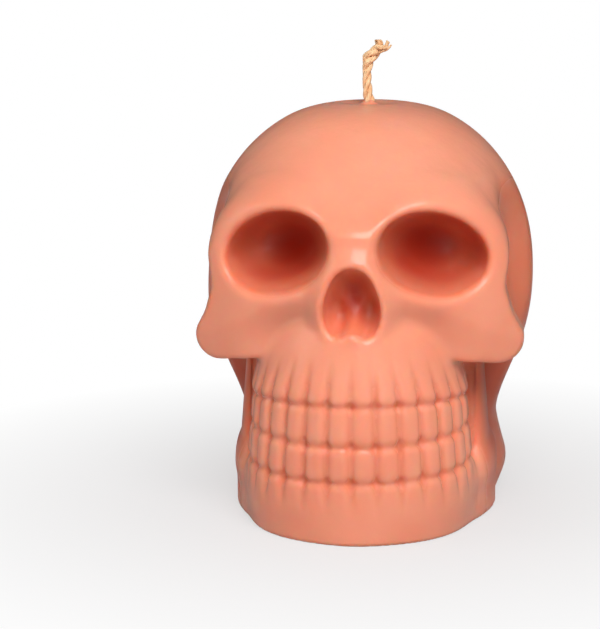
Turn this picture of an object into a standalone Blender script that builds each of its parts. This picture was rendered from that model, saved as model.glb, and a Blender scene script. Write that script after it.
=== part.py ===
"""Skull candle: one piece of cast wax with a twisted cotton wick down its middle.

The skull looks along -Y and stands on its flat underside at z = 0. Sizes are
in millimetres times MM, because the model is in metres. The cast starts as a
few round masses fused into one skin. That skin is drawn onto a smooth form,
which adds the face, the sockets and the teeth up as distances. It is then
thinned, mirrored, cut flat underneath and bored for the wick.
"""

from math import cos, pi, radians, sin

import bmesh
import bpy
import numpy as np
from mathutils import Euler, Matrix, Vector

MM = 0.001

# Cranium, about the wick's axis
SKULL_HEIGHT = 70.0 * MM
CRANIUM_HALF_WIDTH = 28.6 * MM
CRANIUM_HALF_DEPTH = 32.0 * MM
CRANIUM_HALF_HEIGHT = 30.0 * MM
CRANIUM_POWER = 2.15
WICK_DIMPLE_RADIUS = 4.6 * MM
WICK_DIMPLE_DEPTH = 0.8 * MM

# Face plate: its front sweeps back to the sides, its outline is a brow, a cheekbone and a bridge
FACE_FRONT = 35.0 * MM
FACE_HALF_WIDTH = 27.5 * MM
FACE_SWEEP = 12.0 * MM
FACE_BACK = 14.0 * MM
BROW_X = 12.3 * MM
BROW_Z = 46.3 * MM
BROW_HALF_WIDTH = 12.4 * MM
BROW_HALF_HEIGHT = 12.2 * MM
BROW_SOFTNESS = 5.5 * MM
BRIDGE_HALF_WIDTH = 9.0 * MM
BRIDGE_HALF_HEIGHT = 9.0 * MM
TEMPLE_X = 16.0 * MM
TEMPLE_Z = 43.0 * MM
TEMPLE_RADIUS = 7.5 * MM
CHEEK_X = 24.0 * MM
CHEEK_Z = 32.3 * MM
CHEEK_RADIUS = 3.3 * MM
CHEEK_EDGE = 1.2 * MM

# Eye sockets
SOCKET_X = 12.8 * MM
SOCKET_Z = 47.3 * MM
SOCKET_HALF_WIDTH = 8.7 * MM
SOCKET_HALF_HEIGHT = 6.4 * MM
SOCKET_DEPTH = 14.5 * MM
SOCKET_DROOP = radians(21)
SOCKET_TOE_OUT = radians(10)
SOCKET_RIM = 2.0 * MM

# Nose
NOSE_Z = 40.6 * MM
NOSE_HALF_WIDTH = 7.6 * MM
NOSE_HALF_HEIGHT = 8.9 * MM
NOSE_FRONT = 37.9 * MM
NOSE_THICKNESS = 7.5 * MM
NOSTRIL_X = 2.35 * MM
NOSTRIL_Z = 38.3 * MM
NOSTRIL_HALF_WIDTH = 2.4 * MM
NOSTRIL_HALF_HEIGHT = 4.1 * MM
NOSE_HOLE_DEPTH = 8.0 * MM

# Teeth: half an oval, with seven columns a side and four rows
ARCH_Y = -20.0 * MM
ARCH_BACK = 6.0 * MM
TEETH_A_SIDE = 7
TOOTH_ROUND = 1.45 * MM
TOOTH_LIP = 0.45 * MM
# height, half width and reach to the front, from the chin to the nose
ARCH = [
    (-5 * MM, 18.0 * MM, 15.6 * MM),
    (0 * MM, 18.2 * MM, 15.9 * MM),
    (5 * MM, 19.2 * MM, 16.8 * MM),
    (11 * MM, 19.0 * MM, 17.5 * MM),
    (18 * MM, 18.4 * MM, 18.0 * MM),
    (24.5 * MM, 17.7 * MM, 17.8 * MM),
    (29 * MM, 17.0 * MM, 17.2 * MM),
    (33 * MM, 15.6 * MM, 16.2 * MM),
    (38 * MM, 12.0 * MM, 14.5 * MM),
    (46 * MM, 7.0 * MM, 12.0 * MM),
]
ARCH_TOP = 50.0 * MM
# the edges of the rows from the chin up, at the middle and at the last tooth
ROW_EDGES = [
    (3.5 * MM, 5.5 * MM),
    (10.7 * MM, 11.7 * MM),
    (16.8 * MM, 17.7 * MM),
    (23.7 * MM, 22.5 * MM),
    (33.5 * MM, 26.5 * MM),
]

# Jaw and its upright branches
JAW_Y = -8.0 * MM
JAW_HALF_WIDTH = 22.6 * MM
JAW_REACH = 28.0 * MM
JAW_POWER = 1.7
CHIN_HEIGHT = 5.5 * MM
JAW_HEIGHT = 13.0 * MM
BRANCH_X = 19.5 * MM
BRANCH_Y = -10.0 * MM
BRANCH_RADIUS = 2.4 * MM
# times as deep as it is thick
BRANCH_DEPTH = 3.0

# Neck
NECK_Y = 4.0 * MM
NECK_HALF_DEPTH = 18.5 * MM
# how far forward the wax under the cheekbone reaches
HOLLOW_Y = -6.0 * MM
# height and half width
NECK = [
    (-5 * MM, 20.5 * MM),
    (0 * MM, 22.4 * MM),
    (5.5 * MM, 24.5 * MM),
    (9 * MM, 23.4 * MM),
    (14 * MM, 22.2 * MM),
    (23 * MM, 22.8 * MM),
    (30 * MM, 23.5 * MM),
]

# Wick
WICK_RADIUS = 0.8 * MM
WICK_FREE_LENGTH = 10.6 * MM
WICK_LEAN = 3.0 * MM
WICK_FOOT = 0.6 * MM
WICK_STRANDS = 3
WICK_STRAND_RADIUS = 0.52 * MM
WICK_TWIST_PITCH = 5.2 * MM
WICK_TUFT_SPREAD = 1.2 * MM
CLEARANCE = 0.3 * MM

# Fineness of the finished skin
VOXEL = 0.75 * MM
SKULL_FACES = 10200
WICK_FACES = 1500
CUT_MARGIN = 3.0 * MM
SEAM = 0.05 * MM

WAX = (0.86, 0.34, 0.20)
COTTON = (0.92, 0.60, 0.34)


def point(x, y, z):
    return np.array([x, y, z]) * MM


def length(a):
    return np.sqrt((a * a).sum(axis=-1))


def join(a, b, blend):
    """The nearer of two surfaces, run together over a width."""
    near = np.maximum(blend - np.abs(a - b), 0.0) / blend
    return np.minimum(a, b) - near * near * blend / 4


def cut(a, b, blend):
    """The first with the second taken away, its edge rounded."""
    return -join(-a, b, blend)


def meet(a, b, blend):
    """What the two have in common, its edge rounded."""
    return -join(-a, -b, blend)


def oval(x, y, a, b, power=2.0):
    """Distance to an upright oval wall, measured towards its middle."""
    share = (np.abs(x / a) ** power + np.abs(y / b) ** power) ** (1 / power)
    return np.hypot(x, y) * (1 - 1 / np.maximum(share, 1e-6))


def ellipsoid(p, centre, radii, turn=None):
    q = p - centre
    if turn is not None:
        q = q @ np.array(turn.to_matrix())
    near = length(q / radii)
    steep = length(q / (radii * radii))
    return near * (near - 1) / np.maximum(steep, 1e-9)


def strut(p, start, end, start_radius, end_radius):
    run = end - start
    share = np.clip((p - start) @ run / (run @ run), 0, 1)
    gap = length(p - start - share[:, None] * run)
    return gap - (start_radius + (end_radius - start_radius) * share)


def along(z, knots, values):
    """Values read between heights, with the corners eased."""
    steps = zip((-2, -1, 0, 1, 2), (1, 2, 3, 2, 1))
    return sum(np.interp(z + step * MM, knots, values) * share for step, share in steps) / 9


def cranium(p):
    radii = np.array([CRANIUM_HALF_WIDTH, CRANIUM_HALF_DEPTH, CRANIUM_HALF_HEIGHT])
    q = p - np.array([0, 0, SKULL_HEIGHT - CRANIUM_HALF_HEIGHT])
    share = (np.abs(q / radii) ** CRANIUM_POWER).sum(axis=1) ** (1 / CRANIUM_POWER)
    return length(q) * (1 - 1 / np.maximum(share, 1e-6))


def neck(p):
    x, y, z = p.T
    heights, widths = np.array(NECK).T
    wall = oval(x, y - NECK_Y, along(z, heights, widths), NECK_HALF_DEPTH, 2.3)
    return meet(wall, z - 34 * MM, 6 * MM)


def throat(p):
    """What the teeth and the branches of the jaw stand in front of."""
    x, y, z = p.T
    wall = oval(x, y + 4 * MM, 14.0 * MM, 20 * MM)
    return meet(wall, z - 34 * MM, 4 * MM)


def face(p):
    x, y, z = p.T
    front = (FACE_SWEEP * np.abs(x / FACE_HALF_WIDTH) ** 1.8 - y - FACE_FRONT) * 0.85
    brow = oval(x - BROW_X, z - BROW_Z, BROW_HALF_WIDTH, BROW_HALF_HEIGHT)
    bridge = oval(x, z - BROW_Z, BRIDGE_HALF_WIDTH, BRIDGE_HALF_HEIGHT)
    flat = np.stack([x, z], axis=1)
    corner = np.array([CHEEK_X, CHEEK_Z])
    temple = np.array([TEMPLE_X, TEMPLE_Z])
    side = strut(flat, temple, corner, TEMPLE_RADIUS, CHEEK_RADIUS)
    # the cheekbone's lower edge is level, from its corner in to the teeth
    inner = np.array([0.5 * CHEEK_X, CHEEK_Z + 1 * MM])
    cheek = strut(flat, inner, corner, CHEEK_RADIUS + 1 * MM, CHEEK_RADIUS)
    middle = oval(x, z - NOSE_Z, 12 * MM, 11 * MM, 2.5)
    outline = join(join(brow, bridge, 3 * MM), join(cheek, side, 2 * MM), 1.5 * MM)
    outline = join(outline, middle, 3 * MM)
    soft = np.interp(z, [BROW_Z, BROW_Z + BROW_HALF_HEIGHT], [CHEEK_EDGE, BROW_SOFTNESS])
    return meet(meet(front, outline, soft), y + FACE_BACK, 5 * MM)


def teeth(p):
    x, y, z = p.T
    heights, widths, fronts = np.array(ARCH).T
    half_width = along(z, heights, widths)
    front = along(z, heights, fronts)
    ahead = ARCH_Y - y
    wall = oval(x, ahead, half_width, np.where(ahead < 0, ARCH_BACK, front))
    turn = np.arctan2(x / half_width, ahead / front) / (pi / 2)
    edges = [middle + (end - middle) * np.clip(turn, 0, 1) ** 2 for middle, end in ROW_EDGES]
    # how far each point is from the nearest groove between two columns or two rows
    roots = np.clip((z - edges[3]) / (edges[4] - edges[3]), 0, 1)
    column = turn * TEETH_A_SIDE / (1 - 0.1 * roots)
    tooth_width = pi / 2 * widths[4] / TEETH_A_SIDE
    beside = (0.5 - np.abs(column % 1.0 - 0.5)) * tooth_width
    above = np.min([np.abs(z - edge) for edge in edges[1:4]], axis=0)
    # the grooves fade out up the roots and down into the chin
    fade = np.clip((edges[4] - z) / (0.7 * (edges[4] - edges[3])), 0, 1)
    fade *= np.clip((z - edges[0]) / (0.8 * (edges[1] - edges[0])), 0, 1)
    # the last tooth runs into the side of the arch
    fade *= np.clip((1 - turn) * TEETH_A_SIDE / 0.35, 0, 1)
    e = np.clip(TOOTH_ROUND - beside, 0, None) * fade
    f = np.clip(TOOTH_ROUND - above, 0, None) * 0.85
    reach = np.minimum(e * e + f * f, (0.99 * TOOTH_ROUND) ** 2)
    sink = TOOTH_ROUND - np.sqrt(TOOTH_ROUND**2 - reach)
    over = np.clip(1 - (z - edges[3]) / (5 * MM), 0, 1) * (z > edges[3])
    wall = wall + (sink - TOOTH_LIP * over) * np.clip((1.2 - turn) / 0.2, 0, 1)
    return meet(wall, z - ARCH_TOP, 4 * MM)


def jaw(p):
    x, y, z = p.T
    wall = oval(x, y - JAW_Y, JAW_HALF_WIDTH, JAW_REACH, JAW_POWER)
    top = np.interp(y, [JAW_Y - JAW_REACH, JAW_Y], [CHIN_HEIGHT, JAW_HEIGHT])
    body = meet(meet(wall, z - top, 4 * MM), y - 4 * MM, 6 * MM)
    # a plate that is thinner and narrower at its head, where it meets the cheekbone
    flat = np.array([1, 1 / BRANCH_DEPTH, 1])
    foot = np.array([BRANCH_X, BRANCH_Y, 0.6 * JAW_HEIGHT])
    head = np.array([BRANCH_X - 0.5 * MM, BRANCH_Y, CHEEK_Z])
    branch = strut(p * flat, foot * flat, head * flat, BRANCH_RADIUS, 0.4 * BRANCH_RADIUS)
    return join(body, branch, 2 * MM)


def socket(p):
    centre = np.array([SOCKET_X, 3 * MM - FACE_FRONT, SOCKET_Z])
    radii = np.array([SOCKET_HALF_WIDTH, SOCKET_DEPTH, SOCKET_HALF_HEIGHT])
    return ellipsoid(p, centre, radii, Euler((0, SOCKET_DROOP, -SOCKET_TOE_OUT)))


def nose_hole(p):
    """Two lobes with the septum between them, under one rounded top."""
    lobe_centre = np.array([NOSTRIL_X, -NOSE_FRONT, NOSTRIL_Z])
    lobe_radii = np.array([NOSTRIL_HALF_WIDTH, NOSE_HOLE_DEPTH, NOSTRIL_HALF_HEIGHT])
    top_centre = np.array([0, -NOSE_FRONT, NOSTRIL_Z + 2.2 * MM])
    top_radii = lobe_radii * [1.75, 0.95, 1.32]
    return join(ellipsoid(p, lobe_centre, lobe_radii), ellipsoid(p, top_centre, top_radii), 1 * MM)


def form(points):
    """Distance from the wax's surface, negative inside, about the wick's axis."""
    p = points.copy()
    p[:, 0] = np.abs(p[:, 0])
    z = p[:, 2]
    d = join(cranium(p), neck(p), 5 * MM)
    # under the cheekbone the wax steps back to the neck, and it is hollow at the temple
    d = cut(d, meet(z - CHEEK_Z + CHEEK_RADIUS, p[:, 1] - HOLLOW_Y, 7 * MM), 4 * MM)
    d = cut(d, ellipsoid(p, point(31.3, -15, 46), point(8.8, 12.5, 12.5)), 5 * MM)
    d = join(d, throat(p), 3 * MM)
    soft = np.interp(z, [BROW_Z + 3 * MM, BROW_Z + BROW_HALF_HEIGHT], [1 * MM, 6 * MM])
    d = join(d, face(p), soft)
    # hollow between the nose and the cheekbone
    d = cut(d, ellipsoid(p, point(13, -38, 29.5), point(6, 7.5, 8)), 5 * MM)
    d = join(d, teeth(p), 1.2 * MM)
    mound = np.array([0, NOSE_THICKNESS - NOSE_FRONT, NOSE_Z])
    mound_radii = np.array([NOSE_HALF_WIDTH, NOSE_THICKNESS, NOSE_HALF_HEIGHT])
    d = join(d, ellipsoid(p, mound, mound_radii), 1.8 * MM)
    d = join(d, jaw(p), 1.5 * MM)
    d = cut(d, socket(p), SOCKET_RIM)
    d = cut(d, nose_hole(p), 1.2 * MM)
    dimple = np.array([0, 0, SKULL_HEIGHT + 1.5 * MM])
    reach = np.array([WICK_DIMPLE_RADIUS, WICK_DIMPLE_RADIUS, 1.5 * MM + WICK_DIMPLE_DEPTH])
    d = cut(d, ellipsoid(p, dimple, reach), 2.5 * MM)
    return meet(d, -z - CUT_MARGIN, 1 * MM)


def slope(points, step=0.05 * MM):
    """The form's distance at each point, and the way it grows."""
    here = form(points)
    grown = [(form(points + np.eye(3)[axis] * step) - here) / step for axis in range(3)]
    return here, np.stack(grown, axis=1)


def settle(mesh, rounds, most=1.2 * MM):
    """Draws each vertex onto the form, and evens them out along it."""
    co = np.empty(len(mesh.vertices) * 3)
    mesh.vertices.foreach_get("co", co)
    co = co.reshape(-1, 3)
    ends = np.empty(len(mesh.edges) * 2, np.int32)
    mesh.edges.foreach_get("vertices", ends)
    ends = ends.reshape(-1, 2)
    pairs = np.concatenate([ends, ends[:, ::-1]])
    count = np.bincount(pairs[:, 0], minlength=len(co))[:, None]
    for done in range(rounds):
        gap, grown = slope(co)
        steep = np.maximum((grown * grown).sum(axis=1), 0.05)
        move = (gap / steep)[:, None] * grown
        co -= move * np.minimum(1, most / np.maximum(length(move), 1e-12))[:, None]
        if done >= rounds - 2:
            continue
        sums = [np.bincount(pairs[:, 0], co[pairs[:, 1], axis], len(co)) for axis in range(3)]
        drift = np.stack(sums, axis=1) / count - co
        drift -= ((drift * grown).sum(axis=1) / steep)[:, None] * grown
        co += 0.5 * drift
    mesh.vertices.foreach_set("co", co.ravel())
    mesh.update()


def new_object(name, bm, collection):
    mesh = bpy.data.meshes.new(name)
    bm.to_mesh(mesh)
    bm.free()
    obj = bpy.data.objects.new(name, mesh)
    collection.objects.link(obj)
    return obj


def apply_modifiers(obj):
    graph = bpy.context.evaluated_depsgraph_get()
    made = bpy.data.meshes.new_from_object(obj.evaluated_get(graph))
    obj.modifiers.clear()
    old = obj.data
    obj.data = made
    bpy.data.meshes.remove(old)


def even_out(obj, size):
    """A new skin of even quads over everything in the object."""
    skin = obj.modifiers.new("even_out", "REMESH")
    skin.mode = "VOXEL"
    skin.voxel_size = size
    apply_modifiers(obj)


def thin_out(obj, faces):
    obj.data.calc_loop_triangles()
    thin = obj.modifiers.new("thin_out", "DECIMATE")
    thin.ratio = min(1.0, faces / len(obj.data.loop_triangles))
    apply_modifiers(obj)


def masses(collection):
    """Round masses, roughly where the wax is."""
    middle = SKULL_HEIGHT - CRANIUM_HALF_HEIGHT
    places = [
        (Vector((0, 0, middle + 6 * MM)), (0.95 * CRANIUM_HALF_WIDTH, CRANIUM_HALF_DEPTH, 24 * MM)),
        (Vector((0, NECK_Y, 8 * MM)), (22 * MM, NECK_HALF_DEPTH, 16 * MM)),
        (Vector((0, ARCH_Y, 15 * MM)), (17 * MM, 17 * MM, 22 * MM)),
        (Vector((0, -17 * MM, BROW_Z)), (22 * MM, 14 * MM, 12 * MM)),
        (Vector((0, ARCH_Y, NOSE_Z)), (12 * MM, 15 * MM, 12 * MM)),
    ]
    for side in (-1, 1):
        cheek = Vector((side * (CHEEK_X - 6 * MM), ARCH_Y, CHEEK_Z + 2 * MM))
        branch = Vector((side * BRANCH_X, BRANCH_Y, JAW_HEIGHT))
        places.append((cheek, (8 * MM, 6 * MM, 6 * MM)))
        places.append((branch, (2 * MM, 4 * MM, 17 * MM)))
    bm = bmesh.new()
    for centre, radii in places:
        place = Matrix.LocRotScale(centre, None, Vector(radii))
        bmesh.ops.create_uvsphere(bm, u_segments=32, v_segments=16, radius=1.0, matrix=place)
    return new_object("wax_skull", bm, collection)


def wick_path(height):
    """Where the free wick runs at a height above the wax: it leans back, then curls over."""
    share = np.clip(height / WICK_FREE_LENGTH, 0, 1)
    lean = WICK_LEAN * (share**2.6 - 0.75 * share * (1 - share))
    return Vector((lean, 0.4 * MM * sin(pi * share), height))


def strand(index, bottom, top):
    """One strand of the wick as a tube round the others, fanning out at its tip."""
    steps = 26
    curve = bpy.data.curves.new("strand", "CURVE")
    curve.dimensions = "3D"
    curve.bevel_depth = WICK_STRAND_RADIUS
    curve.bevel_resolution = 2
    curve.use_fill_caps = True
    line = curve.splines.new("POLY")
    line.points.add(steps)
    for i, spot in enumerate(line.points):
        height = bottom + (top - bottom) * i / steps
        angle = 2 * pi * (index / WICK_STRANDS + height / WICK_TWIST_PITCH)
        fan = max(0.0, (i / steps - 0.86) / 0.14)
        out = WICK_RADIUS - WICK_STRAND_RADIUS + WICK_TUFT_SPREAD * fan**1.4
        centre = wick_path(height)
        spot.co = (*(centre + out * Vector((cos(angle), sin(angle), 0))), 1)
        spot.radius = 1 - 0.45 * fan
    return curve


def twisted_wick(exit_height, collection):
    """A round core in the wax and twisted strands above it, fused into one piece."""
    bm = bmesh.new()
    inside = exit_height - WICK_FOOT
    core = Matrix.Translation((0, 0, WICK_FOOT + inside / 2))
    bmesh.ops.create_cone(
        bm,
        cap_ends=True,
        segments=16,
        radius1=WICK_RADIUS,
        radius2=WICK_RADIUS,
        depth=inside,
        matrix=core,
    )
    obj = new_object("wick", bm, collection)
    bm = bmesh.new()
    bm.from_mesh(obj.data)
    for index in range(WICK_STRANDS):
        curve = strand(index, -2 * WICK_RADIUS, WICK_FREE_LENGTH - 0.2 * MM)
        guide = bpy.data.objects.new("strand", curve)
        collection.objects.link(guide)
        graph = bpy.context.evaluated_depsgraph_get()
        tube = bpy.data.meshes.new_from_object(guide.evaluated_get(graph))
        tube.transform(Matrix.Translation((0, 0, exit_height)))
        bm.from_mesh(tube)
        bpy.data.objects.remove(guide)
        bpy.data.curves.remove(curve)
        bpy.data.meshes.remove(tube)
    bmesh.ops.remove_doubles(bm, verts=bm.verts, dist=0.001 * MM)
    bm.to_mesh(obj.data)
    bm.free()
    even_out(obj, 0.22 * MM)
    thin_out(obj, WICK_FACES)
    return obj


def cast_skull(collection, voxel=VOXEL):
    obj = masses(collection)
    for size in (2.2, 2.0, 1.8, 1.6, 1.4):
        even_out(obj, size * MM)
        settle(obj.data, 6)
    for size in (1.1 * MM, voxel):
        even_out(obj, size)
        settle(obj.data, 8)
    return obj


def keep_one_side(obj):
    """Leaves the half at +X, open along the plane between the two."""
    bm = bmesh.new()
    bm.from_mesh(obj.data)
    geometry = [*bm.verts, *bm.edges, *bm.faces]
    bmesh.ops.bisect_plane(bm, geom=geometry, dist=SEAM, plane_no=(1, 0, 0), clear_inner=True)
    for vertex in bm.verts:
        if vertex.is_boundary or vertex.co.x < SEAM:
            vertex.co.x = 0
    bmesh.ops.dissolve_degenerate(bm, edges=bm.edges, dist=0.1 * SEAM)
    bm.to_mesh(obj.data)
    bm.free()


def boolean(obj, cutter, name):
    modifier = obj.modifiers.new(name, "BOOLEAN")
    modifier.operation = "DIFFERENCE"
    modifier.object = cutter


def hide_as_cutter(obj):
    obj.hide_render = True
    obj.display_type = "WIRE"


def material(name, colour, roughness):
    made = bpy.data.materials.new(name)
    made.use_nodes = True
    shader = made.node_tree.nodes["Principled BSDF"]
    shader.inputs["Base Color"].default_value = (*colour, 1)
    shader.inputs["Roughness"].default_value = roughness
    shader.inputs["Metallic"].default_value = 0
    return made


def build():
    for old in list(bpy.data.objects):
        bpy.data.objects.remove(old)
    parts = bpy.data.collections.new("skull_candle")
    cutters = bpy.data.collections.new("skull_candle_cutters")
    bpy.context.scene.collection.children.link(parts)
    bpy.context.scene.collection.children.link(cutters)

    skull = cast_skull(parts)
    thin_out(skull, SKULL_FACES)
    skull.data.materials.append(material("wax", WAX, 0.4))
    skull.data.shade_smooth()

    wick = twisted_wick(SKULL_HEIGHT - WICK_DIMPLE_DEPTH, parts)
    wick.data.materials.append(material("cotton", COTTON, 0.9))
    wick.data.shade_smooth()

    # the origin is under the middle of the skull's length
    ys = [vertex.co.y for vertex in skull.data.vertices]
    middle = (min(ys) + max(ys)) / 2
    for obj in (skull, wick):
        obj.data.transform(Matrix.Translation((0, -middle, 0)))

    keep_one_side(skull)
    halves = skull.modifiers.new("halves", "MIRROR")
    halves.use_axis = (True, False, False)
    halves.merge_threshold = 0.1 * SEAM

    bm = bmesh.new()
    reach = 2 * (CRANIUM_HALF_DEPTH + FACE_FRONT)
    block = Matrix.LocRotScale(Vector((0, 0, -reach / 2)), None, Vector((reach, reach, reach)))
    bmesh.ops.create_cube(bm, size=1.0, matrix=block)
    base_cutter = new_object("base_cutter", bm, cutters)
    hide_as_cutter(base_cutter)
    boolean(skull, base_cutter, "flat_base")

    bm = bmesh.new()
    bore_radius = WICK_RADIUS + CLEARANCE
    bmesh.ops.create_cone(
        bm,
        cap_ends=True,
        segments=16,
        radius1=bore_radius,
        radius2=bore_radius,
        depth=2 * SKULL_HEIGHT + 4 * CUT_MARGIN,
        matrix=Matrix.Translation((0, -middle, 0)),
    )
    bore_cutter = new_object("bore_cutter", bm, cutters)
    hide_as_cutter(bore_cutter)
    boolean(skull, bore_cutter, "wick_bore")


if __name__ == "__main__":
    build()
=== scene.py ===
import random
from math import cos, pi, radians, sin

import bmesh
import bpy
import numpy as np
from mathutils import Euler, Matrix, Quaternion, Vector


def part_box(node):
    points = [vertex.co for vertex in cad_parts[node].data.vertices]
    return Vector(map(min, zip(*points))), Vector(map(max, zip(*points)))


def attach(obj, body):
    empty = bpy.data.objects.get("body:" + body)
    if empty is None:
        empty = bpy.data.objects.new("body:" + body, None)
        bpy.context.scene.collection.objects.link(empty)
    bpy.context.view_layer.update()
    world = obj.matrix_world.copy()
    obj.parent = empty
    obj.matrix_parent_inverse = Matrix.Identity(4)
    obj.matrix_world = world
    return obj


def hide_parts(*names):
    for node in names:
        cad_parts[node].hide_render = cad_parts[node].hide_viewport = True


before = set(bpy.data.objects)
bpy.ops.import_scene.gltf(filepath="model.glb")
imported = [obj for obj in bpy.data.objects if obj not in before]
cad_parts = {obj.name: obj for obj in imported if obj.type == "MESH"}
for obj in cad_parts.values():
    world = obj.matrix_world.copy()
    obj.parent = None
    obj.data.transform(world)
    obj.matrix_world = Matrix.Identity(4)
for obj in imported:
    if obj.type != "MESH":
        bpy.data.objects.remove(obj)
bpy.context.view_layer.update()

scene = bpy.context.scene
mm = 0.001
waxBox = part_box("wax_skull")
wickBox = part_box("wick")

# The camera comes first. Its lens is for a 36 mm sensor along the frame's long side.
camera = {
    "place": (28.5, -348.89, 99.33),
    "aim": (-11.99, -0.05, 31.98),
    "roll": -0.463,
    "lens": 116.37,
}
cameraData = bpy.data.cameras.new("camera")
cameraData.sensor_fit = "AUTO"
cameraData.sensor_width = 36
cameraData.lens = camera["lens"]
cameraData.clip_start = 0.01
cameraObject = bpy.data.objects.new("camera", cameraData)
scene.collection.objects.link(cameraObject)
cameraObject.location = Vector(camera["place"]) * mm
look = (Vector(camera["aim"]) - Vector(camera["place"])).to_track_quat("-Z", "Y")
cameraObject.rotation_euler = (look @ Quaternion((0, 0, 1), radians(camera["roll"]))).to_euler()
scene.camera = cameraObject
print("camera placed")

# The skull's form, in millimetres about the wick, with y = 0 at the wick's axis.
cranium = {
    "top": 70.0,
    "flat": 70.6,
    "radii": (28.6, 32.0, 30.0),
    "power": 2.15,
    # centre and radii of the ball that hollows each temple
    "fossa": ((31.3, -15, 46), (8.8, 12.5, 12.5)),
    # half width and depth
    "dimple": (4.6, 0.8),
}
wickY = waxBox[1][1] / mm - cranium["radii"][1]
face = {
    "front": 35.0,
    "halfWidth": 27.5,
    "sweep": 12.0,
    "back": 14.0,
    "brow": (12.3, 46.3, 12.4, 12.2),
    "browSoft": 5.5,
    "bridge": (9.0, 9.0),
    "temple": (16.0, 43.0, 7.5),
    "cheek": (23.5, 32.2, 3.3),
    # how much the brow leans back, and how far up that goes on
    "lean": (0.02, 14),
    # the ridge under the cheek: where it starts, its slope and how much the face falls below it
    "ridge": (7, 41.5, 0.42, 0.28),
    "slant": 0.85,
    # centre and radii of the ball that hollows the face under each cheek
    "underCheek": ((13, -39.5, 30.5), (9, 10.5, 8.5)),
}
socket = {
    "place": (12.8, -32.0, 47.3),
    "radii": (8.7, 14.5, 6.4),
    "droop": 21,
    "toeOut": 10,
    "rim": 2.0,
}
nose = {
    "z": 40.6,
    "front": 37.9,
    "radii": (7.6, 7.5, 8.9),
    "rim": 1.8,
    "lobe": (2.35, 38.3),
    "lobeRadii": (2.4, 8.0, 4.1),
    # the upper part of the hole, against a lobe
    "topScale": (1.75, 0.95, 1.32),
    "topRise": 2.2,
}
arch = {
    "y": -20.0,
    "back": 6.0,
    "perSide": 7,
    "toothRun": 17.0,
    "round": 1.45,
    "lip": 0.45,
    # height, half width and reach to the front
    "profile": [
        (-5, 18.0, 15.6),
        (0, 18.2, 15.9),
        (5, 19.2, 16.8),
        (11, 19.0, 17.5),
        (18, 18.4, 18.0),
        (24.5, 17.7, 17.8),
        (29, 17.0, 17.2),
        (33, 15.6, 16.2),
        (38, 12.0, 14.5),
        (46, 7.0, 12.0),
    ],
    # the edges of the rows, at the middle and at the last tooth
    "rows": [(3.5, 5.5), (10.7, 11.7), (16.8, 17.7), (23.7, 22.5), (33.5, 26.5)],
}
jaw = {
    "y": -8.0,
    "halfWidth": 22.6,
    "reach": 28.0,
    "power": 1.7,
    "chin": 5.5,
    "height": 13.0,
    # place in x and y, thickness and how many times deeper than thick
    "branch": (19.5, -10.0, 2.4, 3.0),
    "hollow": -6.0,
}
neck = {
    "y": 4.0,
    "halfDepth": 18.5,
    "power": 2.3,
    "top": 34,
    # half width and half depth of the core behind the teeth
    "throat": (14, 20),
    # height and half width
    "profile": [
        (-5, 20.5),
        (0, 22.4),
        (5.5, 24.5),
        (9, 23.4),
        (14, 22.2),
        (23, 22.8),
        (30, 23.5),
    ],
}
# wax drawn up round the wick: foot and tip, with a radius at each
collar = ((0, 0, 66), (0, 0, 69.6), 1.2, 0.7)


def size(a):
    return np.sqrt((a * a).sum(axis=-1))


def join(a, b, blend):
    near = np.maximum(blend - np.abs(a - b), 0.0) / blend
    return np.minimum(a, b) - near * near * blend / 4


def cut(a, b, blend):
    return -join(-a, b, blend)


def meet(a, b, blend):
    return -join(-a, -b, blend)


def oval(x, y, a, b, power=2.0):
    share = (np.abs(x / a) ** power + np.abs(y / b) ** power) ** (1 / power)
    return np.hypot(x, y) * (1 - 1 / np.maximum(share, 1e-6))


def ball(p, centre, radii, turn=None):
    q = p - np.array(centre)
    if turn is not None:
        q = q @ np.array(turn.to_matrix())
    radii = np.array(radii, float)
    near = size(q / radii)
    return near * (near - 1) / np.maximum(size(q / (radii * radii)), 1e-9)


def strut(p, start, end, startRadius, endRadius):
    start, end = np.array(start, float), np.array(end, float)
    run = end - start
    share = np.clip((p - start) @ run / (run @ run), 0, 1)
    radius = startRadius + (endRadius - startRadius) * share
    return size(p - start - share[:, None] * run) - radius


def along(z, knots, values):
    steps = zip((-2, -1, 0, 1, 2), (1, 2, 3, 2, 1))
    return sum(np.interp(z + step, knots, values) * share for step, share in steps) / 9


# from 0 at the start to 1 at the end, easing in and out
def fade(a, start, end):
    share = np.clip((a - start) / (end - start), 0, 1)
    return share * share * (3 - 2 * share)


def craniumForm(p):
    radii = np.array(cranium["radii"])
    q = p - np.array([0, 0, cranium["top"] - radii[2]])
    power = cranium["power"]
    share = (np.abs(q / radii) ** power).sum(axis=1) ** (1 / power)
    return size(q) * (1 - 1 / np.maximum(share, 1e-6))


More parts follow.
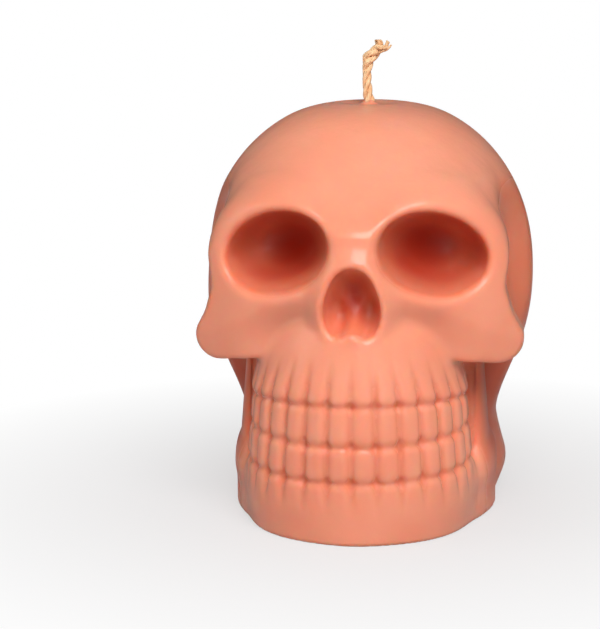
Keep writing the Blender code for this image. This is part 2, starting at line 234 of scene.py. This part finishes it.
def faceForm(p):
    x, y, z = p.T
    front = face["sweep"] * np.abs(x / face["halfWidth"]) ** 1.8 - y - face["front"]
    # the brow leans back, and the cheek falls away under a ridge from the nose to its corner
    lean, leanHigh = face["lean"]
    front = front + lean * np.clip(z - face["brow"][1], 0, leanHigh) ** 2
    ridgeX, ridgeZ, ridgeSlope, ridgeFall = face["ridge"]
    under = np.clip(ridgeZ - ridgeSlope * (x - ridgeX) - z, 0, None) * np.clip((x - 5) / 3, 0, 1)
    front = (front + ridgeFall * under * under / (under + 2)) * face["slant"]
    browX, browZ, browWide, browHigh = face["brow"]
    cheekX, cheekZ, cheekRadius = face["cheek"]
    brow = oval(x - browX, z - browZ, browWide, browHigh)
    bridge = oval(x, z - browZ, *face["bridge"])
    flat = np.stack([x, z], axis=1)
    side = strut(flat, face["temple"][:2], (cheekX, cheekZ), face["temple"][2], cheekRadius)
    cheek = strut(flat, (0.5 * cheekX, cheekZ + 1), (cheekX, cheekZ), cheekRadius + 1, cheekRadius)
    middle = oval(x, z - nose["z"], 12, 11, 2.5)
    outline = join(join(brow, bridge, 3), join(cheek, side, 2), 1.5)
    outline = join(outline, middle, 3)
    soft = np.interp(z, [browZ, browZ + browHigh], [0.8, face["browSoft"]])
    soft = soft * (1 + 1.3 * np.exp(-((x / 6) ** 2)))
    return meet(meet(front, outline, soft), y + face["back"], 5)


def teethForm(p, grooves):
    x, y, z = p.T
    heights, widths, fronts = np.array(arch["profile"]).T
    halfWidth = along(z, heights, widths)
    front = along(z, heights, fronts)
    ahead = arch["y"] - y
    wall = oval(x, ahead, halfWidth, np.where(ahead < 0, arch["back"], front))
    turn = np.arctan2(x / halfWidth, ahead / front) / (pi / 2)
    edges = [middle + (end - middle) * np.clip(turn, 0, 1) ** 2 for middle, end in arch["rows"]]
    roots = np.clip((z - edges[3]) / (edges[4] - edges[3]), 0, 1)
    column = turn * arch["perSide"] / (1 - 0.1 * roots)
    beside = (0.5 - np.abs(column % 1.0 - 0.5)) * pi / 2 * arch["toothRun"] / arch["perSide"]
    above = np.min([np.abs(z - edge) for edge in edges[1:4]], axis=0)
    # the upright grooves run out at the roots, at the gum and at the last tooth
    shown = np.clip((edges[4] - z) / (0.7 * (edges[4] - edges[3])), 0, 1)
    shown *= np.clip((z - edges[0]) / (0.8 * (edges[1] - edges[0])), 0, 1)
    shown *= np.clip((1 - turn) * arch["perSide"] / 0.35, 0, 1)
    r = arch["round"]
    e = np.clip(r - beside, 0, None) * shown
    f = np.clip(r - above, 0, None) * 0.85
    sink = r - np.sqrt(r * r - np.minimum(e * e + f * f, (0.99 * r) ** 2))
    over = np.clip(1 - (z - edges[3]) / 5, 0, 1) * (z > edges[3])
    wall = wall + (sink * grooves - arch["lip"] * over) * np.clip((1.2 - turn) / 0.2, 0, 1)
    return meet(wall, z - 50, 4)


def jawForm(p):
    x, y, z = p.T
    wall = oval(x, y - jaw["y"], jaw["halfWidth"], jaw["reach"], jaw["power"])
    top = np.interp(y, [jaw["y"] - jaw["reach"], jaw["y"]], [jaw["chin"], jaw["height"]])
    body = meet(meet(wall, z - top, 4), y - 4, 6)
    branchX, branchY, r, deep = jaw["branch"]
    flat = np.array([1, 1 / deep, 1])
    foot = flat * (branchX, branchY, 0.6 * jaw["height"])
    head = flat * (branchX - 0.5, branchY, face["cheek"][1])
    return join(body, strut(p * flat, foot, head, r, 0.4 * r), 2)


def noseHole(p):
    lobeX, lobeZ = nose["lobe"]
    wide, deep, high = nose["lobeRadii"]
    lobe = ball(p, (lobeX, -nose["front"], lobeZ), (wide, deep, high))
    wider, shallower, higher = nose["topScale"]
    place = (0, -nose["front"], lobeZ + nose["topRise"])
    top = ball(p, place, (wider * wide, shallower * deep, higher * high))
    return join(lobe, top, 1)


# the form's distance in millimetres, with or without its sockets, nose hole and grooves
def waxForm(points, hollows=True):
    p = points.copy()
    p[:, 0] = np.abs(p[:, 0])
    x, y, z = p.T
    wide = along(z, *np.array(neck["profile"]).T)
    neckWall = oval(x, y - neck["y"], wide, neck["halfDepth"], neck["power"])
    d = meet(craniumForm(p), z - cranium["flat"], 4)
    d = join(d, meet(neckWall, z - neck["top"], 6), 5)
    cheekFoot = face["cheek"][1] - face["cheek"][2]
    d = cut(d, meet(z - cheekFoot, y - jaw["hollow"], 7), 4)
    d = cut(d, ball(p, *cranium["fossa"]), 5)
    d = join(d, meet(oval(x, y + 4, *neck["throat"]), z - neck["top"], 4), 3)
    browX, browZ, browWide, browHigh = face["brow"]
    d = join(d, faceForm(p), np.interp(z, [browZ + 3, browZ + browHigh], [0.6, 6]))
    d = cut(d, ball(p, *face["underCheek"]), 5)
    d = join(d, teethForm(p, hollows), 1.2)
    noseY = nose["radii"][1] - nose["front"]
    d = join(d, ball(p, (0, noseY, nose["z"]), nose["radii"]), nose["rim"])
    d = join(d, jawForm(p), 1.5)
    if not hollows:
        return d
    turn = Euler((0, radians(socket["droop"]), -radians(socket["toeOut"])))
    d = cut(d, ball(p, socket["place"], socket["radii"], turn), socket["rim"])
    d = cut(d, noseHole(p), 1.2)
    wide, deep = cranium["dimple"]
    d = cut(d, ball(p, (0, 0, cranium["top"] + 1.5), (wide, wide, 1.5 + deep)), 2.5)
    d = join(d, strut(p, *collar), 1.6)
    return meet(d, -z, 0.8)


def slope(points, step=0.03):
    here = waxForm(points)
    grown = [(waxForm(points + np.eye(3)[axis] * step) - here) / step for axis in range(3)]
    return here, np.stack(grown, axis=1)


def settle(mesh, rounds, most=0.8):
    co = np.empty(len(mesh.vertices) * 3)
    mesh.vertices.foreach_get("co", co)
    co = co.reshape(-1, 3) / mm - (0, wickY, 0)
    ends = np.empty(len(mesh.edges) * 2, np.int32)
    mesh.edges.foreach_get("vertices", ends)
    ends = ends.reshape(-1, 2)
    pairs = np.concatenate([ends, ends[:, ::-1]])
    count = np.bincount(pairs[:, 0], minlength=len(co))[:, None]
    for done in range(rounds):
        gap, grown = slope(co)
        steep = np.maximum((grown * grown).sum(axis=1), 0.05)
        move = (gap / steep)[:, None] * grown
        co -= move * np.minimum(1, most / np.maximum(size(move), 1e-12))[:, None]
        if done >= rounds - 2:
            continue
        sums = [np.bincount(pairs[:, 0], co[pairs[:, 1], axis], len(co)) for axis in range(3)]
        drift = np.stack(sums, axis=1) / count - co
        drift -= ((drift * grown).sum(axis=1) / steep)[:, None] * grown
        co += 0.5 * drift
    co = (co + (0, wickY, 0)) * mm
    co = np.clip(co, np.array(waxBox[0]), np.array(waxBox[1]) + (0, 0, 0.0005))
    mesh.vertices.foreach_set("co", co.ravel())
    mesh.update()


def evenOut(obj, voxel):
    skin = obj.modifiers.new("evenOut", "REMESH")
    skin.mode = "VOXEL"
    skin.voxel_size = voxel * mm
    graph = bpy.context.evaluated_depsgraph_get()
    made = bpy.data.meshes.new_from_object(obj.evaluated_get(graph))
    obj.modifiers.clear()
    obj.data = made


wax = bpy.data.objects.new("wax_body", bpy.data.meshes.new("wax_body"))
scene.collection.objects.link(wax)
bm = bmesh.new()
bm.from_mesh(bpy.data.objects["wax_skull"].data)
bmesh.ops.remove_doubles(bm, verts=bm.verts, dist=0.001 * mm)
bm.to_mesh(wax.data)
bm.free()
waxSteps = [(0.9, 8), (0.5, 8)]
for voxel, rounds in waxSteps:
    evenOut(wax, voxel)
    settle(wax.data, rounds)
wax.data.shade_smooth()

# How deep each point lies in a hollow, in millimetres: the wax takes painted shade from it,
# darkest reds deepest. The space behind the teeth and the sides behind the face plate count as
# hollows too.
shade = {
    "recess": (22.5, 26),
    "recessGain": 1.7,
    "recessMost": 9,
    "neckSide": 4,
    "sides": 2.6,
    "neck": 2.9,
}
co = np.empty(len(wax.data.vertices) * 3)
wax.data.vertices.foreach_get("co", co)
co = co.reshape(-1, 3) / mm - (0, wickY, 0)
depth = np.maximum(-waxForm(co, hollows=False), 0)
across, away, high = np.abs(co[:, 0]), co[:, 1], co[:, 2]
# Painted shade in the recess behind the teeth, under the cheekbones.
recess = -oval(across, away + 4, *shade["recess"]) * fade(high, 31, 27) * fade(away, 0, -8)
depth = np.maximum(depth, np.clip(shade["recessGain"] * recess, 0, shade["recessMost"]))
# Painted shade on the sides behind the face plate and on the neck below the cheekbones.
neckShare = fade(high, 34, 20)
side = fade(across + shade["neckSide"] * neckShare, 18, 26)
side *= fade(away, -18, -10) * fade(away, 20, -8)
side *= shade["sides"] + shade["neck"] * neckShare
side *= fade(high, 62, 44) * (0.3 + 0.7 * fade(high, 0, 14))
depth = np.hypot(depth, side).astype(np.float32)
wax.data.attributes.new("depth", "FLOAT", "POINT").data.foreach_set("value", depth)
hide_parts("wax_skull")
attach(wax, "root")
print("wax drawn onto its form:", len(wax.data.polygons), "faces")

# The wick: three strands twisted together, each of six thinner plies twisted the other way.
wick = {
    "exit": 69.3,
    "free": 10.6,
    "lean": 1.8,
    "strands": 3,
    "plies": 6,
    "strandOut": 0.42,
    "plyOut": 0.22,
    "plyRadius": 0.25,
    "pitch": 6.0,
    "plyPitch": 3.4,
    "steps": 110,
    # how far the strands start below the exit
    "root": 2,
    # sideways and backward bow, and the shares of the free end between which it bends over
    "sway": 0.45,
    "bow": 0.4,
    "bend": (0.64, 0.94),
    # heights between which the strands loosen, and how much wider and thicker they get
    "loosen": (4.5, 7.5),
    "looser": 0.4,
    "thicker": 0.25,
    # where the plies part, and how thin each gets at its very end
    "fray": 0.8,
    "tip": (0.94, 0.6),
    # lower end and radius of the straight part in the wax
    "core": (0.6, 0.7),
}
splays = [Vector((1.1, -0.3, -1.1)), Vector((0.9, 0.4, -0.5)), Vector((0.1, 0.0, 0.3))]


def wickPath(height):
    share = min(max(height / wick["free"], 0), 1)
    sway = wick["sway"] * sin(pi * min(share / 0.8, 1))
    lean = wick["lean"] * float(fade(share, *wick["bend"])) - sway
    return Vector((lean, wick["bow"] * sin(pi * share), height))


def roundAbout(angle):
    return Vector((cos(angle), sin(angle), 0))


def plyCurve(points, radii, depth):
    curve = bpy.data.curves.new("ply", "CURVE")
    curve.dimensions = "3D"
    curve.bevel_depth = depth * mm
    curve.bevel_resolution = 1
    curve.use_fill_caps = True
    line = curve.splines.new("POLY")
    line.points.add(len(points) - 1)
    for spot, place, radius in zip(line.points, points, radii):
        spot.co = (*((place + Vector((0, wickY, wick["exit"]))) * mm), 1)
        spot.radius = radius
    return curve


dice = random.Random(4)
wickMesh = bmesh.new()
foot, thick = wick["core"]
bmesh.ops.create_cone(
    wickMesh,
    cap_ends=True,
    segments=16,
    radius1=thick * mm,
    radius2=thick * mm,
    depth=(wick["exit"] - foot) * mm,
    matrix=Matrix.Translation((0, wickY * mm, (wick["exit"] + foot) / 2 * mm)),
)
for strand in range(wick["strands"]):
    for ply in range(wick["plies"]):
        points, radii = [], []
        loose = Vector((dice.uniform(-1, 1), dice.uniform(-1, 1), dice.uniform(-1, 1)))
        splay = splays[strand] + 0.35 * loose
        last = wick["free"] - dice.uniform(0, 0.9)
        for i in range(wick["steps"] + 1):
            share = i / wick["steps"]
            height = -wick["root"] + (last + wick["root"]) * i / wick["steps"]
            angle = 2 * pi * (strand / wick["strands"] + height / wick["pitch"])
            inner = 2 * pi * (ply / wick["plies"] - height / wick["plyPitch"])
            fan = max(0.0, (share - wick["fray"]) / 0.2)
            free = float(fade(height, *wick["loosen"]))
            wide = 1 + 0.25 * max(0.0, 1 - abs(height) / 1.5) + wick["looser"] * free
            tangent = wickPath(height + 0.05) - wickPath(height - 0.05)
            lay = Vector((0, 0, 1)).rotation_difference(tangent)
            aside = wick["strandOut"] * wide * roundAbout(angle)
            aside += wick["plyOut"] * wide * roundAbout(angle + inner)
            points.append(wickPath(height) + lay @ aside + fan**1.5 * splay)
            tip, thinner = wick["tip"]
            radii.append(1 + wick["thicker"] * free - thinner * float(fade(share, tip, 1)))
        curve = plyCurve(points, radii, wick["plyRadius"])
        guide = bpy.data.objects.new("ply", curve)
        scene.collection.objects.link(guide)
        graph = bpy.context.evaluated_depsgraph_get()
        mesh = bpy.data.meshes.new_from_object(guide.evaluated_get(graph))
        wickMesh.from_mesh(mesh)
        bpy.data.objects.remove(guide)
        bpy.data.curves.remove(curve)
        bpy.data.meshes.remove(mesh)
bmesh.ops.remove_doubles(wickMesh, verts=wickMesh.verts, dist=0.0005 * mm)
for vertex in wickMesh.verts:
    vertex.co = [min(max(at, low), high) for at, low, high in zip(vertex.co, *wickBox)]
cotton = bpy.data.objects.new("cotton_wick", bpy.data.meshes.new("cotton_wick"))
wickMesh.to_mesh(cotton.data)
wickMesh.free()
cotton.data.shade_smooth()
scene.collection.objects.link(cotton)
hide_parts("wick")
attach(cotton, "root")
print("wick twisted:", len(cotton.data.polygons), "faces")


def linear(code):
    values = [int(code[i : i + 2], 16) / 255 for i in (1, 3, 5)]
    return (*[v / 12.92 if v <= 0.04045 else ((v + 0.055) / 1.055) ** 2.4 for v in values], 1)


def addNode(tree, kind, settings=None, links=None):
    node = tree.nodes.new(kind)
    for key, value in (settings or {}).items():
        if isinstance(key, str) and hasattr(node, key):
            setattr(node, key, value)
        else:
            node.inputs[key].default_value = value
    for key, source in (links or {}).items():
        tree.links.new(source, node.inputs[key])
    return node


def newMaterial(name):
    made = bpy.data.materials.new(name)
    made.use_nodes = True
    tree = made.node_tree
    return made, tree, tree.nodes["Principled BSDF"]


# Paraffin wax, cast in a mould: light goes a millimetre or so in, so edges glow. The hollows'
# deep red is painted shade, taken from the depth attribute.
waxMaterial, tree, shader = newMaterial("cast_paraffin_wax_painted_shade")
place = addNode(tree, "ShaderNodeTexCoord")
cloud = addNode(
    tree,
    "ShaderNodeTexNoise",
    {"Scale": 55.0, "Detail": 3.0},
    {"Vector": place.outputs["Object"]},
)
tint = addNode(tree, "ShaderNodeValToRGB", None, {"Fac": cloud.outputs["Fac"]})
tint.color_ramp.elements[0].position = 0.3
tint.color_ramp.elements[0].color = linear("#ec987a")
tint.color_ramp.elements[1].position = 0.75
tint.color_ramp.elements[1].color = linear("#f2a487")
# Painted shade: the depth attribute darkens the wax's tone towards deep red in hollows.
deep = addNode(tree, "ShaderNodeAttribute", {"attribute_name": "depth"})
sunk = addNode(tree, "ShaderNodeMapRange", {"From Max": 9.0}, {"Value": deep.outputs["Fac"]})
red = addNode(tree, "ShaderNodeValToRGB", None, {"Fac": sunk.outputs["Result"]})
red.color_ramp.interpolation = "EASE"
red.color_ramp.elements[0].color = (1, 1, 1, 1)
red.color_ramp.elements[1].color = linear("#b8543f")
# A first, light painted shade already in shallow hollows such as the tooth grooves.
early = red.color_ramp.elements.new(0.12)
early.color = linear("#f8dcd0")
# Multiplies the painted shade into the wax's own tone.
paintedShadeMix = addNode(
    tree,
    "ShaderNodeMix",
    {"data_type": "RGBA", "blend_type": "MULTIPLY", 0: 1.0},
    {6: tint.outputs["Color"], 7: red.outputs["Color"]},
)
tree.links.new(paintedShadeMix.outputs[2], shader.inputs["Base Color"])
grain = addNode(
    tree,
    "ShaderNodeTexNoise",
    {"Scale": 2200.0, "Detail": 4.0},
    {"Vector": place.outputs["Object"]},
)
ripple = addNode(
    tree,
    "ShaderNodeTexNoise",
    {"Scale": 260.0, "Detail": 3.0},
    {"Vector": place.outputs["Object"]},
)
fine = addNode(
    tree,
    "ShaderNodeBump",
    {"Strength": 0.10, "Distance": 0.00010},
    {"Height": grain.outputs["Fac"]},
)
coarse = addNode(
    tree,
    "ShaderNodeBump",
    {"Strength": 0.25, "Distance": 0.00035},
    {"Height": ripple.outputs["Fac"], "Normal": fine.outputs["Normal"]},
)
tree.links.new(coarse.outputs["Normal"], shader.inputs["Normal"])
dull = addNode(
    tree,
    "ShaderNodeMapRange",
    {"To Min": 0.26, "To Max": 0.5},
    {"Value": sunk.outputs["Result"]},
)
tree.links.new(dull.outputs["Result"], shader.inputs["Roughness"])
shader.inputs["Specular IOR Level"].default_value = 0.38
shader.inputs["IOR"].default_value = 1.44
shader.inputs["Subsurface Weight"].default_value = 1.0
shader.inputs["Subsurface Radius"].default_value = (1.0, 0.30, 0.14)
shader.inputs["Subsurface Scale"].default_value = 0.0012
wax.data.materials.clear()
wax.data.materials.append(waxMaterial)

# Cotton yarn, twisted and dipped in wax: pale fibres along each ply with a slight sheen.
cottonMaterial, tree, shader = newMaterial("waxed_twisted_cotton")
place = addNode(tree, "ShaderNodeTexCoord")
patches = addNode(
    tree,
    "ShaderNodeTexNoise",
    {"Scale": 900.0, "Detail": 3.0},
    {"Vector": place.outputs["Object"]},
)
tint = addNode(tree, "ShaderNodeValToRGB", None, {"Fac": patches.outputs["Fac"]})
tint.color_ramp.elements[0].position = 0.3
tint.color_ramp.elements[0].color = linear("#e0a874")
tint.color_ramp.elements[1].position = 0.7
tint.color_ramp.elements[1].color = linear("#f4d2a6")
tree.links.new(tint.outputs["Color"], shader.inputs["Base Color"])
fibres = addNode(
    tree,
    "ShaderNodeTexNoise",
    {"Scale": 5200.0, "Detail": 2.0},
    {"Vector": place.outputs["Object"]},
)
bump = addNode(
    tree,
    "ShaderNodeBump",
    {"Strength": 0.15, "Distance": 0.00006},
    {"Height": fibres.outputs["Fac"]},
)
tree.links.new(bump.outputs["Normal"], shader.inputs["Normal"])
shader.inputs["Roughness"].default_value = 0.6
cotton.data.materials.clear()
cotton.data.materials.append(cottonMaterial)
print("materials made")

# A pale floor that turns white away from the candle. Only the camera sees that white, so the
# floor keeps the shadow.
floorMesh = bmesh.new()
bmesh.ops.create_grid(floorMesh, x_segments=8, y_segments=8, size=3.0)
floor = bpy.data.objects.new("floor", bpy.data.meshes.new("floor"))
floorMesh.to_mesh(floor.data)
floorMesh.free()
scene.collection.objects.link(floor)
floorMaterial, tree, shader = newMaterial("matt_white_board")
shader.inputs["Base Color"].default_value = linear("#c4bfbf")
shader.inputs["Roughness"].default_value = 0.7
shader.inputs["Specular IOR Level"].default_value = 0.2
place = addNode(tree, "ShaderNodeTexCoord")
distance = addNode(
    tree,
    "ShaderNodeVectorMath",
    {"operation": "LENGTH"},
    {0: place.outputs["Object"]},
)
away = addNode(
    tree,
    "ShaderNodeMapRange",
    {"From Min": 0.0, "From Max": 0.10, "To Min": 0.5},
    {"Value": distance.outputs["Value"]},
)
ray = addNode(tree, "ShaderNodeLightPath")
seen = addNode(
    tree,
    "ShaderNodeMath",
    {"operation": "MULTIPLY"},
    {0: away.outputs["Result"], 1: ray.outputs["Is Camera Ray"]},
)
white = addNode(tree, "ShaderNodeEmission", {"Color": (1, 1, 1, 1), "Strength": 1.0})
mix = addNode(
    tree,
    "ShaderNodeMixShader",
    None,
    {"Fac": seen.outputs["Value"], 1: shader.outputs["BSDF"], 2: white.outputs["Emission"]},
)
tree.links.new(mix.outputs["Shader"], tree.nodes["Material Output"].inputs["Surface"])
floor.data.materials.append(floorMaterial)

# White behind the floor, and a dim, even light from all round.
world = bpy.data.worlds.new("studio")
scene.world = world
world.use_nodes = True
tree = world.node_tree
background = tree.nodes["Background"]
background.inputs["Color"].default_value = (1, 1, 1, 1)
background.inputs["Strength"].default_value = 0.09
plain = addNode(tree, "ShaderNodeBackground", {"Color": (1, 1, 1, 1), "Strength": 1.0})
ray = addNode(tree, "ShaderNodeLightPath")
mix = addNode(
    tree,
    "ShaderNodeMixShader",
    None,
    {
        "Fac": ray.outputs["Is Camera Ray"],
        1: background.outputs["Background"],
        2: plain.outputs["Background"],
    },
)
tree.links.new(mix.outputs["Shader"], tree.nodes["World Output"].inputs["Surface"])

# Places and sizes in metres, powers in watts. The back lamp gives no highlight of its own.
lamps = {
    "keyLamp": {"place": (0.09, -0.33, 0.35), "size": 0.26, "power": 2.25},
    "lowLamp": {"place": (0.12, -0.45, 0.06), "size": 0.12, "power": 0.12},
    "leftLamp": {"place": (-0.42, -0.16, 0.22), "size": 0.22, "power": 0.3},
    "backLamp": {"place": (-0.12, 0.48, 0.10), "size": 0.3, "power": 0.8},
}
lampAim = Vector((0, 0, 0.035))
for name, lamp in lamps.items():
    data = bpy.data.lights.new(name, "AREA")
    data.size = lamp["size"]
    data.energy = lamp["power"]
    obj = bpy.data.objects.new(name, data)
    scene.collection.objects.link(obj)
    obj.location = lamp["place"]
    obj.visible_glossy = name != "backLamp"
    toAim = lampAim - Vector(lamp["place"])
    obj.rotation_euler = toAim.to_track_quat("-Z", "Y").to_euler()
scene.view_settings.view_transform = "Standard"
print("stage and lamps set")
